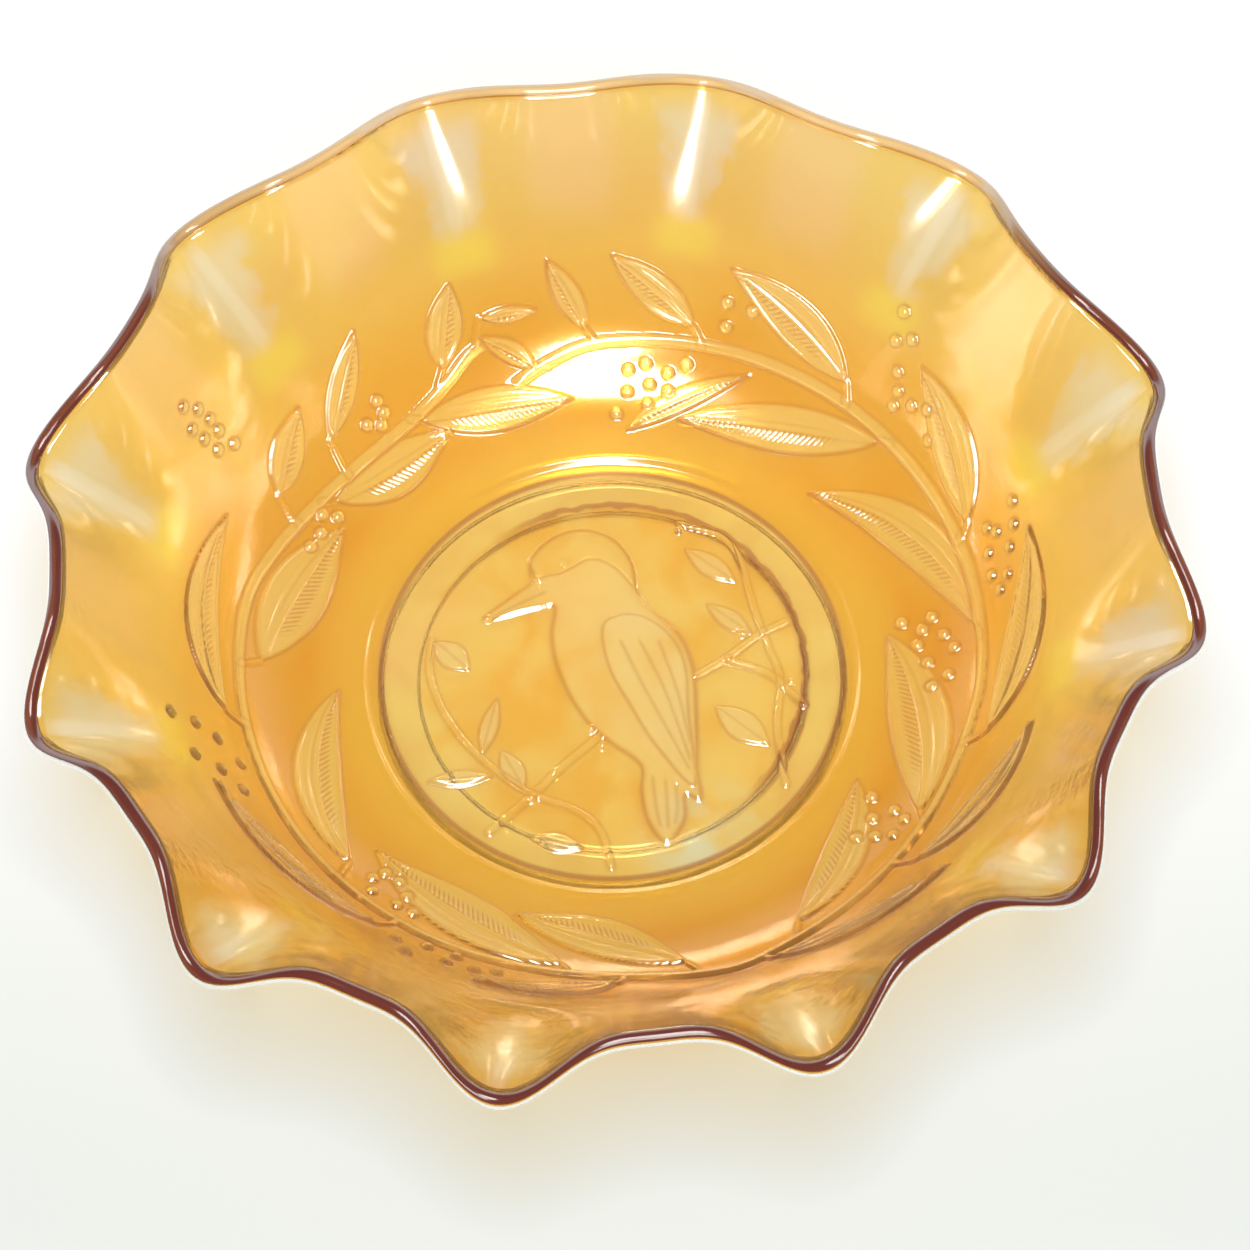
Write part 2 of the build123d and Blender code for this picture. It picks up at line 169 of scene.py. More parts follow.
# sprig leaves as (base x, base y, tip x, tip y, half width)
sprig_leaves = (
    (-30, 0.5, -37.5, 8, 3.0), (-27.6, -20, -24.2, -6, 1.9), (-18.6, -28, -23.5, -18.5, 2.4),
    (-25, -24.6, -39, -25.5, 2.0), (-6.5, -41.8, -17.5, -39, 2.3),
    (27, 20.4, 16, 29.4, 2.6), (30, 7.6, 20.2, 15.6, 2.2), (32.6, -19, 21.4, -9.2, 3.4),
)
beak_line = ((-26, 13), (-20, 16), (-14, 19))
beads = ((-15.2, 22.3), (-9.8, 25.3), (-26.2, 13), (-4.6, -14), (-2.4, -18), (-12.4, -24), (-17, -30),
         (27.8, 8), (32.3, 6), (24.6, 1.6), (37.6, -4), (15, 34))


# ------------------------------------------------------------------ small helpers on arrays

def smooth(edge_low, edge_high, value):
    """0 below edge_low, 1 above edge_high, and a smooth rise between."""
    share = np.clip((value - edge_low) / (edge_high - edge_low), 0.0, 1.0)
    return share * share * (3 - 2 * share)


def curve_points(points, count, closed=False):
    """Catmull-Rom curve through the points."""
    knots = np.array(points, float)
    if closed:
        knots = np.vstack([knots[-1], knots, knots[:2]])
    else:
        knots = np.vstack([2 * knots[0] - knots[1], knots, 2 * knots[-1] - knots[-2]])
    spans = len(knots) - 3
    where = np.linspace(0, spans, count, endpoint=not closed)
    span = np.minimum(where.astype(int), spans - 1)
    t = (where - span)[:, None]
    a, b, c, d = (knots[span + k] for k in range(4))
    cubic = (3 * b - a - 3 * c + d) * t**3
    return 0.5 * (2 * b + (c - a) * t + (2 * a - 5 * b + 4 * c - d) * t**2 + cubic)


def path_distance(x, y, path):
    """Distance from each point to a chain of short straight runs."""
    best = np.full(x.shape, 1e9)
    for (x0, y0), (x1, y1) in zip(path[:-1], path[1:]):
        dx, dy = x1 - x0, y1 - y0
        along = np.clip(((x - x0) * dx + (y - y0) * dy) / (dx * dx + dy * dy + 1e-12), 0, 1)
        best = np.minimum(best, np.hypot(x - x0 - along * dx, y - y0 - along * dy))
    return best


def inside_path(x, y, path):
    """True where a point lies inside a closed chain."""
    result = np.zeros(x.shape, bool)
    for (x0, y0), (x1, y1) in zip(path, np.roll(path, -1, axis=0)):
        crosses = (y0 > y) != (y1 > y)
        with np.errstate(divide="ignore", invalid="ignore"):
            at = (x1 - x0) * (y - y0) / (y1 - y0) + x0
        result ^= crosses & (x < at)
    return result


def round_ridge(distance, half_width, height):
    """Half-round ridge seen in section."""
    return height * np.sqrt(np.clip(1 - (distance / half_width) ** 2, 0, 1))


# ------------------------------------------------------------------ the wall as a formula

def lip_centre(azimuth):
    """(radius, height) of the middle of the lip, which waves in and out and up and down."""
    wave = np.radians(ruffle_count * (azimuth - ruffle_phase))
    oval = oval_reach * np.cos(np.radians(2 * (azimuth - oval_azimuth)))
    tilt = tilt_height * np.cos(np.radians(azimuth - tilt_azimuth))
    warp = warp_height * np.cos(np.radians(2 * (azimuth - warp_azimuth)))
    radius = lip_mean_radius + ruffle_reach * np.cos(wave) + ruffle_reach_sharpness * np.cos(2 * wave) + oval
    height = (rim_mean_height - ruffle_drop * np.cos(wave) + ruffle_drop_sharpness * np.cos(2 * wave)
              + tilt + warp)
    return radius, height


def profile(distance, azimuth, depth):
    """(radius, height) of the wall at a depth below its inner surface; a negative depth stands proud."""
    slope = low_angle + np.clip((distance - low_length) / bend_rounding, 0, turn)
    low = np.minimum(distance, low_length)
    high = np.maximum(distance - low_length - bend_length, 0)
    radius = bend_centre_r + bend_rounding * np.sin(slope) + (low - low_length) * cos(low_angle)
    height = bend_centre_z - bend_rounding * np.cos(slope) + (low - low_length) * sin(low_angle)
    radius = radius + high * cos(high_angle) + depth * np.sin(slope)
    height = height + high * sin(high_angle) - depth * np.cos(slope)
    share = np.clip((distance - border_start) / border_length, 0, 1)
    top_r, top_z = lip_centre(azimuth)
    half = wall_thickness / 2
    full_r = border_radius + border_length * cos(high_angle)
    full_z = border_height + border_length * sin(high_angle)
    growth = share ** ruffle_growth
    radius = radius + growth * (top_r - sin(high_angle) * half - full_r)
    height = height + growth * (top_z + cos(high_angle) * half - full_z)
    return radius, height


def ripple(x, y, scale, seed):
    """Gentle uneven waviness of hand-finished glass, from -1 to 1."""
    source = np.random.default_rng(seed)
    total = 0
    for _ in range(7):
        heading = source.uniform(0, 2 * pi)
        wavelength = scale * source.uniform(0.6, 1.8)
        shift = source.uniform(0, 2 * pi)
        total = total + np.sin((x * cos(heading) + y * sin(heading)) * 2 * pi / wavelength + shift)
    return total / 7


# ------------------------------------------------------------------ relief on the wall

def leaf_relief(azimuth, distance, leaf):
    """(height, blade, outline) of one leaf: raised blade, rolled edge, midrib and fine hatching."""
    base_a, base_d, tip_a, tip_d, above, below = leaf
    middle_a, middle_d = (base_a + tip_a) / 2, (base_d + tip_d) / 2
    middle_r = float(profile(np.array(middle_d), 0.0, 0.0)[0])
    off = (azimuth - middle_a + 180) % 360 - 180
    x = np.radians(off) * middle_r
    y = distance - middle_d
    end_x = radians(tip_a - middle_a) * middle_r
    end_y = tip_d - middle_d
    half = hypot(end_x, end_y)
    ax, ay = end_x / half, end_y / half
    along = (x * ax + y * ay) / (2 * half) + 0.5
    side = -x * ay + y * ax
    if ax < 0:
        side = -side
    t = np.clip(along, 0, 1)
    swell = np.sin(pi * t ** 0.86) ** 0.9
    upper = above * swell
    lower = -below * swell
    width = np.maximum((upper - lower) / 2, 1e-3)
    across = (side - (upper + lower) / 2) / width
    edge = (1 - np.abs(across)) * width
    in_length = (along > 0) & (along < 1)
    inside = in_length & (edge > 0)
    blade = 0.5 * smooth(0, 0.5, edge)
    rolled = 0.40 * np.exp(-((edge - 0.60) / 0.38) ** 2)
    rib = 0.55 * np.exp(-(across * width / 0.40) ** 2) * smooth(0, 0.08, t) * smooth(0, 0.1, 1 - t)
    crease = 0.25 * np.exp(-((np.abs(across - 0.42) * width) / 0.36) ** 2) * smooth(0.05, 0.3, t)
    hatch_zone = smooth(0.06, 0.14, -across) * smooth(0.0, 0.25, 0.66 + across) * smooth(0.1, 0.3, t)
    hatch = 0.15 * hatch_zone * np.sin((t * 2 * half + across * width * 0.8) * 2 * pi / 1.3)
    veins = 0.06 * np.sin((across * width * 2.2 + t * half * 0.25) * 2 * pi / 1.7) * smooth(0.5, 2.0, edge)
    height = blade + rolled + rib + crease + hatch + veins
    # outline: painted shade along the leaf's edge, stronger on one side, and in its hatching grooves, with
    # film pooled there
    weight = np.where(across < 0, 1.0, 0.6)
    outline = weight * np.exp(-(edge / 0.42) ** 2)
    outline = outline + 0.5 * np.exp(-((across * width + 0.55) / 0.25) ** 2) * inside
    outline = outline + 0.9 * hatch_zone * smooth(0.0, 0.10, -hatch)
    vein_line = np.exp(-((np.abs(across - 0.22) * width) / 0.28) ** 2) * smooth(0.1, 0.4, t)
    outline = outline + 0.4 * vein_line * inside
    return (np.where(inside, np.maximum(height, 0), 0), np.where(inside, smooth(0, 0.6, edge), 0),
            np.where(in_length, outline, 0))


def wall_relief(azimuth, distance):
    """(height of everything moulded on the wall, leaf mask, dark outlines) by azimuth and distance."""
    height = np.zeros(azimuth.shape)
    blade = np.zeros(azimuth.shape)
    line = np.zeros(azimuth.shape)
    radius = profile(distance, azimuth, 0.0)[0]
    for leaf in outer_leaves + inner_leaves:
        low = min(leaf[1], leaf[3]) - leaf[4] - leaf[5]
        high = max(leaf[1], leaf[3]) + leaf[4] + leaf[5]
        rows = (distance[:, 0] > low) & (distance[:, 0] < high)
        if rows.any():
            one, mask, outline = leaf_relief(azimuth[rows], distance[rows], leaf)
            height[rows] = np.where(mask > 0, np.maximum(one, height[rows] * 0.35), height[rows])
            line[rows] = np.where(mask > 0.5, outline, np.maximum(line[rows], outline))
            blade[rows] = np.maximum(blade[rows], mask)
    route = curve_points(stem_route, 400)
    unrolled = np.where(azimuth % 360 < 108, azimuth % 360 + 360, azimuth % 360)
    offset = distance - np.interp(unrolled, route[:, 0], route[:, 1])
    slope = np.gradient(route[:, 1], np.radians(route[:, 0])) / stem_mean_radius
    offset = offset * np.cos(np.arctan(np.interp(unrolled, route[:, 0], slope)))
    taper = smooth(108, 113, unrolled) * smooth(0, 4, 468 - unrolled)
    height = np.maximum(height, round_ridge(offset, stem_half_width, 1.0) * taper)
    blade = np.maximum(blade, taper * smooth(1.7, 0.9, np.abs(offset)))
    line = line * (1 - taper * smooth(1.6, 1.2, np.abs(offset)))
    # painted shade beside the stem, stronger on its lower side, with film pooled against it
    line = np.maximum(line, taper * np.exp(-((offset + 1.5) / 0.38) ** 2))
    line = np.maximum(line, taper * 0.5 * np.exp(-((offset - 1.5) / 0.3) ** 2))
    for leaf in outer_leaves + inner_leaves:
        base_a, base_d = leaf[0], leaf[1]
        stem_d = np.interp(base_a % 360 + (360 if base_a % 360 < 108 else 0), route[:, 0], route[:, 1])
        if abs(stem_d - base_d) < 12:
            lean = 2.5 if leaf[2] < leaf[0] else -2.5
            off = (azimuth - base_a + 180) % 360 - 180
            x = np.radians(off) * stem_mean_radius
            stalk = path_distance(x, distance, [(0, base_d), (lean, stem_d)])
            height = np.maximum(height, round_ridge(stalk, 0.75, 0.7))
            # painted shade with pooled film along each stalk
            line = np.maximum(line, 0.5 * np.exp(-((stalk - 0.95) / 0.25) ** 2))
    for berry_a, berry_d in berries:
        rows = np.abs(distance[:, 0] - berry_d) < 3.2
        off = (azimuth[rows] - berry_a + 180) % 360 - 180
        gap = np.hypot(np.radians(off) * radius[rows], distance[rows] - berry_d)
        height[rows] = np.maximum(height[rows] * smooth(1.1, 1.8, gap), round_ridge(gap, berry_radius, 1.1))
        blade[rows] = np.maximum(blade[rows], smooth(1.5, 1.0, gap))
        # halo: painted shade with pooled film in a ring round the foot of each berry
        halo = 0.9 * np.exp(-((gap - berry_radius - 0.15) / 0.3) ** 2)
        line[rows] = np.maximum(line[rows] * smooth(0.9, 1.6, gap), halo)
    return height, blade, line


# ------------------------------------------------------------------ relief on the floor

def floor_relief(x, y):
    """(height of everything moulded on the floor, fill of the raised areas, dark outlines)."""
    def distance_to(points, count, closed=False):
        """Distance of every point of the floor to a smooth curve."""
        path = curve_points(points, count, closed)
        return path_distance(x, y, np.vstack([path, path[:1]]) if closed else path)

    def mark(distance, half_width):
        """1 on a line, fading within about its half width."""
        return np.exp(-(distance / half_width) ** 2)

    body = inside_path(x, y, curve_points(bird_outline, 220, closed=True))
    edge = distance_to(bird_outline, 220, closed=True)
    wing = inside_path(x, y, curve_points(wing_outline, 140, closed=True))
    wing_edge = distance_to(wing_outline, 140, closed=True)
    cap = inside_path(x, y, curve_points(cap_outline, 120, closed=True))
    cap_edge = distance_to(cap_outline, 120, closed=True)
    height = np.where(body, 0.55 * smooth(0, 0.7, edge) + 0.75 * smooth(0.5, 9, edge), 0)
    height = height + 0.3 * mark(edge, 0.45) + np.where(wing, 0.35 * smooth(0, 0.9, wing_edge), 0)
    height = height + 0.22 * mark(wing_edge, 0.45) + 0.25 * mark(cap_edge, 0.5)
    height = height - np.where(cap, 0.25 * smooth(0, 0.8, cap_edge), 0)
    # line: dark outlines of the medallion, painted shade along its edges and grooves, with film pooled there
    line = np.maximum(mark(edge, 0.5), 0.8 * mark(wing_edge, 0.4))
    line = np.maximum(line, 0.8 * mark(cap_edge, 0.4))
    for cut in feather_lines + (beak_line,):
        groove = mark(distance_to(cut, 14), 0.4)
        height = height - 0.2 * groove
        line = np.maximum(line, 0.6 * groove)
    twigs = np.zeros(x.shape)
    for points, half_width in [(p, 0.75) for p in perch_lines] + [(left_stem, 0.6), (right_stem, 0.6)]:
        gap = distance_to(points, 50)
        twigs = np.maximum(twigs, round_ridge(gap, half_width, half_width + 0.05))
        line = np.maximum(line, np.where(body, 0, 0.7 * mark(gap - half_width - 0.2, 0.3)))
    fill = np.where(body, smooth(0.3, 1.2, edge) * (0.65 + 0.35 * wing) * (1 - 0.8 * cap), 0)
    for base_x, base_y, tip_x, tip_y, half_width in sprig_leaves:
        half = hypot(tip_x - base_x, tip_y - base_y) / 2
        ax, ay = (tip_x - base_x) / half / 2, (tip_y - base_y) / half / 2
        off_x, off_y = x - (base_x + tip_x) / 2, y - (base_y + tip_y) / 2
        along = (off_x * ax + off_y * ay) / (2 * half) + 0.5
        side = -off_x * ay + off_y * ax
        gap = half_width * np.sin(pi * np.clip(along, 0, 1)) - np.abs(side)
        in_length = (along > 0) & (along < 1)
        leaf = np.where(in_length & (gap > 0), 0.45 * smooth(0, 0.6, gap), 0)
        fill = np.maximum(fill, np.where(in_length & (gap > 0), 0.8 * smooth(0, 0.6, gap), 0))
        line = np.maximum(line, np.where(in_length, 0.8 * mark(gap, 0.35), 0))
        line = np.maximum(line, np.where(in_length & (gap > 0), 0.5 * mark(side, 0.3), 0))
        twigs = np.maximum(twigs, leaf + np.where(leaf > 0, 0.22 * mark(side, 0.35), 0))
    height = np.where(body, height, np.maximum(height, twigs))
    for bead_x, bead_y in beads:
        height = np.maximum(height, round_ridge(np.hypot(x - bead_x, y - bead_y), 1.0, 1.0) + 0.3 * height)
    return height, fill, line


# ------------------------------------------------------------------ one closed skin of glass

# zone: 0 floor, 1 inner wall, 2 to 3 lip, 4 outer wall, 5 collar base, 6 underside of the floor
# blade: raised relief; line: dark outlines, partly film pooled along the relief and partly painted shade of
# its edges; along: distance from the ridge, negative on the floor;
# flute: 1 on an outward lobe and 0 in a hollow
ATTRIBUTES = ("zone", "blade", "line", "along", "flute")
rings = []          # each: points (n, 3) in mm, a value of every attribute per point, and the lip flag


def add_ring(points, **values):
    """Adds a ring of points; each attribute is one value or one value per point."""
    count = len(points)
    filled = {name: np.broadcast_to(np.asarray(values.get(name, 0.0), float), (count,))
              for name in ATTRIBUTES}
    rings.append({"points": points, "lip": values.get("lip", False), **filled})


def turned(radius, height, azimuth):
    """Points on a circle or a wavy loop about Z."""
    angle = np.radians(azimuth)
    return np.stack([radius * np.cos(angle), radius * np.sin(angle), height + 0 * angle], -1)


def flute_share(azimuth):
    """1 along an outward lobe and 0 along a hollow."""
    return 0.5 + 0.5 * np.cos(np.radians(ruffle_count * (azimuth - ruffle_phase)))


def azimuths(count):
    """Evenly spaced directions of a full turn."""
    return np.arange(count) * 360.0 / count


def ridge_bump(offset):
    """Height of the thin ridge at a distance from its middle."""
    return ridge_rise * np.exp(-(offset / ridge_width) ** 2)


def wall_wave(azimuth, distance, height, wavelength, seed):
    """Waviness of the glass along one ring of the wall."""
    return height * ripple(azimuth * 1.4, np.full(azimuth.shape, distance), wavelength, seed)


# floor, from the middle outwards
for radius in np.arange(FLOOR_STEP, 51.0, FLOOR_STEP):
    columns = 90 if radius < 3 else 180 if radius < 7 else 360 if radius < 18 else COLUMNS
    points = turned(radius, floor_top, azimuths(columns))
    relief, fill, line = floor_relief(points[:, 0], points[:, 1])
    fade = smooth(0, 2.5, 49.5 - radius)
    points[:, 2] += relief * fade + 0.10 * ripple(points[:, 0], points[:, 1], 16, 3)
    add_ring(points, zone=0.0, blade=fill * fade, line=0.85 * line * fade, along=radius - ridge_radius)

# step and ridge between the floor and the wall
for radius in np.linspace(51.1, ridge_radius - 0.2, 6):
    rise = float(smooth(50.9, ridge_radius, np.array(radius)))
    height = floor_top + (ridge_top - floor_top) * rise + ridge_bump(radius - ridge_radius)
    add_ring(turned(radius, height, azimuths(FINE_COLUMNS)), zone=1.0, along=radius - ridge_radius)

# inner wall with the wreath, then the ruffles
azimuth = azimuths(FINE_COLUMNS)
stations = np.arange(0.0, WREATH_TOP, WREATH_STEP)
grid_a, grid_d = np.meshgrid(azimuth, stations)
relief, blade, line = wall_relief(grid_a, grid_d)
for row, distance in enumerate(stations):
    wave = wall_wave(azimuth, distance, 0.06, 14, 5)
    radius, height = profile(distance, azimuth, -(relief[row] + wave + ridge_bump(distance)))
    add_ring(turned(radius, height, azimuth), zone=1.0, blade=blade[row], line=line[row],
             along=distance, flute=flute_share(azimuth))
azimuth = azimuths(COLUMNS)
for distance in np.arange(WREATH_TOP, wall_end - 0.3, BORDER_STEP):
    radius, height = profile(distance, azimuth, -wall_wave(azimuth, distance, 0.06, 14, 5))
    add_ring(turned(radius, height, azimuth), zone=1.0, along=distance, flute=flute_share(azimuth))

# fire-polished lip: half a circle from the inner to the outer surface
centre_r, centre_z = lip_centre(azimuth)
for turn_angle in np.linspace(pi, 0, 15):
    across = -cos(turn_angle) * lip_radius
    up = sin(turn_angle) * lip_radius
    radius = centre_r + across * sin(high_angle) + up * cos(high_angle)
    height = centre_z - across * cos(high_angle) + up * sin(high_angle)
    add_ring(turned(radius, height, azimuth), zone=2.5 + 0.5 * cos(turn_angle), along=wall_end,
             flute=flute_share(azimuth), lip=turn_angle < 0.6 * pi)

# outer wall, down to the foot
for distance in np.arange(wall_end - 0.8, -2.6, -OUTER_STEP):
    wave = wall_wave(azimuth, distance, 0.05, 18, 8)
    radius, height = profile(distance, azimuth, wall_thickness + wave)
    add_ring(turned(radius, height, azimuth), zone=4.0, along=distance, flute=flute_share(azimuth),
             lip=distance > wall_end - 1.0)

# collar base: outer side, rounded edges, resting face and a bore with a few chips, then the underside
foot_profile = [(foot_radius + 0.25, foot_height - 0.15), (foot_radius, foot_height - 0.6),
                (foot_radius, foot_height - 1.4)]
for angle in np.linspace(0, 90, 7):
    foot_profile.append((foot_radius - foot_rounding * (1 - cos(radians(angle))),
                         foot_rounding * (1 - sin(radians(angle)))))
foot_profile += [(46.2, 0.0), (44.7, 0.0), (43.2, 0.0)]
for angle in np.linspace(90, 0, 7):
    foot_profile.append((foot_bore_radius + foot_rounding * (1 - cos(radians(angle))),
                         foot_rounding * (1 - sin(radians(angle)))))
foot_profile += [(foot_bore_radius, 1.7), (foot_bore_radius, 2.6), (foot_bore_radius - 0.2, 3.05),
                 (foot_bore_radius - 0.6, foot_height)]
from_right = (azimuth + 180) % 360 - 180
chips = np.clip(ripple(azimuth * 3.0, azimuth * 0 + 2, 9, 21) - 0.25, 0, 1)
chips = chips * smooth(-60, -20, from_right) * smooth(-60, -35, -from_right)
for radius, height in foot_profile:
    near_bore = np.exp(-((radius - foot_bore_radius) / 0.7) ** 2) * (height < 2.9)
    add_ring(turned(radius + chips * 0.8 * near_bore, height, azimuth), zone=5.0, along=radius - ridge_radius)
for radius in np.arange(foot_bore_radius - UNDERSIDE_STEP, 0.7, -UNDERSIDE_STEP):
    columns = COLUMNS if radius > 38 else 360 if radius > 12 else 180 if radius > 5 else 90
    points = turned(radius, foot_height, azimuths(columns))
    uneven = 0.14 * ripple(points[:, 0], points[:, 1], 11, 13)
    points[:, 2] += uneven * smooth(0, 4, foot_bore_radius - radius)
    add_ring(points, zone=6.0, along=radius - ridge_radius)


def stitch(inner, outer, inner_count, outer_count):
    """Faces between two neighbouring rings whose counts are equal or differ by a factor of two."""
    if inner_count == outer_count:
        j = np.arange(inner_count)
        k = (j + 1) % inner_count
        return [np.stack([inner + j, outer + j, outer + k, inner + k], -1)]
    if inner_count == 2 * outer_count:
        j = np.arange(outer_count)
        k = (j + 1) % outer_count
        fine, middle, after = inner + 2 * j, inner + 2 * j + 1, inner + (2 * j + 2) % inner_count
        return [np.stack(t, -1) for t in ((fine, outer + j, middle), (middle, outer + j, outer + k),
                                          (middle, outer + k, after))]
    j = np.arange(inner_count)
    k = (j + 1) % inner_count
    fine, middle, after = outer + 2 * j, outer + 2 * j + 1, outer + (2 * j + 2) % outer_count
    return [np.stack(t, -1) for t in ((inner + j, fine, middle), (inner + j, middle, inner + k),
                                      (inner + k, middle, after))]


def build_mesh(name):
    """Closed mesh from the rings, with a point at the middle of the floor and of the underside."""
    points = np.vstack([ring["points"] for ring in rings]
                       + [[[0, 0, rings[0]["points"][:, 2].mean()]], [[0, 0, foot_height]]])
    starts = np.cumsum([0] + [len(ring["points"]) for ring in rings])
    faces, lip_faces = [], []
    for first in range(len(rings) - 1):
        made = stitch(starts[first], starts[first + 1], len(rings[first]["points"]),
                      len(rings[first + 1]["points"]))
        lip_faces += [np.full(len(group), rings[first]["lip"]) for group in made]
        faces += made
    top, bottom = len(points) - 2, len(points) - 1
    j = np.arange(len(rings[0]["points"]))
    faces.append(np.stack([top + 0 * j, j, (j + 1) % len(j)], -1))
    last, count = starts[-2], len(rings[-1]["points"])
    j = np.arange(count)
    faces.append(np.stack([last + j, bottom + 0 * j, last + (j + 1) % count], -1))
    mesh = bpy.data.meshes.new(name)
    lip_faces += [np.full(len(group), False) for group in faces[-2:]]
    sizes = np.concatenate([np.full(len(f), f.shape[1]) for f in faces])
    loops = np.concatenate([f.ravel() for f in faces])
    mesh.vertices.add(len(points))
    mesh.vertices.foreach_set("co", (points * MM).ravel())
    mesh.loops.add(len(loops))
    mesh.loops.foreach_set("vertex_index", loops.astype(np.int32))
    mesh.polygons.add(len(sizes))
    mesh.polygons.foreach_set("loop_start", np.concatenate([[0], np.cumsum(sizes)[:-1]]).astype(np.int32))
    mesh.polygons.foreach_set("material_index", np.concatenate(lip_faces).astype(np.int32))
    mesh.update(calc_edges=True)
    mesh.shade_smooth()
    for attribute in ATTRIBUTES:
        values = np.concatenate([ring[attribute] for ring in rings] + [[0.0, 6.0 * (attribute == "zone")]])
        layer = mesh.attributes.new(attribute, "FLOAT", "POINT")
        layer.data.foreach_set("value", values.astype(np.float32))
    return mesh


# ------------------------------------------------------------------ material

# tints of the glass for light that has crossed the wall (linear red, green, blue)
WALL_LOW = (0.92, 0.475, 0.055)
WALL_HIGH = (0.96, 0.58, 0.085)
WALL_RING = (0.93, 0.53, 0.068)
LEAF = (0.96, 0.67, 0.21)
CLEAR_AND_REFLECTION = (0.88, 0.75, 0.50)
PEARL_HIGHLIGHT = (1.0, 0.93, 0.80)
GLOW_LIGHT = (1.0, 0.76, 0.07)
ROSE = (1.0, 0.64, 0.26)
FLOOR_GOLD = (0.98, 0.55, 0.10)
FLOOR_CAUSTIC_LIGHT = (1.0, 0.74, 0.25)
COLLAR_PALE = (0.92, 0.61, 0.19)
MEDAL = (1.0, 0.76, 0.37)
CONTOUR_FILM_AND_SHADE = (0.58, 0.21, 0.035)
LIP_SHADE_PLUM = (0.11, 0.020, 0.020)
LIP_SHADE_BROWN = (0.20, 0.050, 0.030)
LIP_LIGHT_GOLD = (0.80, 0.54, 0.26)
RING_PLUM = (0.42, 0.16, 0.08)
SERRATION = (0.50, 0.20, 0.08)
TEAL = (0.84, 0.90, 0.80)
OUTER = (0.97, 0.90, 0.70)
FOOT = (0.98, 0.94, 0.82)
# tints that darken a region they are multiplied into
GROUND_SHADE = (0.95, 0.82, 0.50)
FRONT_PAINTED_SHADE = (0.84, 0.62, 0.42)
CLOUD_SHADE = (1.0, 0.90, 0.66)
# paler tint of the light that one face of the border lets through onto the table
CAST_LIGHT = (0.94, 0.86, 0.70)
teal_centre = (19.0, -41.0, 7.0)
# how far back the painted dark plum of the lip starts to give way to a painted lighter gold-brown, and where
# it is all gold
GOLD_FROM, GOLD_FULL = 50.0, 98.0
# the pastel colours that the film drifts through, by position on its noise
FILM = ((0.28, (1.0, 0.85, 0.70)), (0.42, (1.0, 0.95, 0.68)), (0.55, (0.97, 0.96, 0.80)),
        (0.68, (0.99, 0.89, 0.86)), (0.80, (1.0, 0.90, 0.72)))


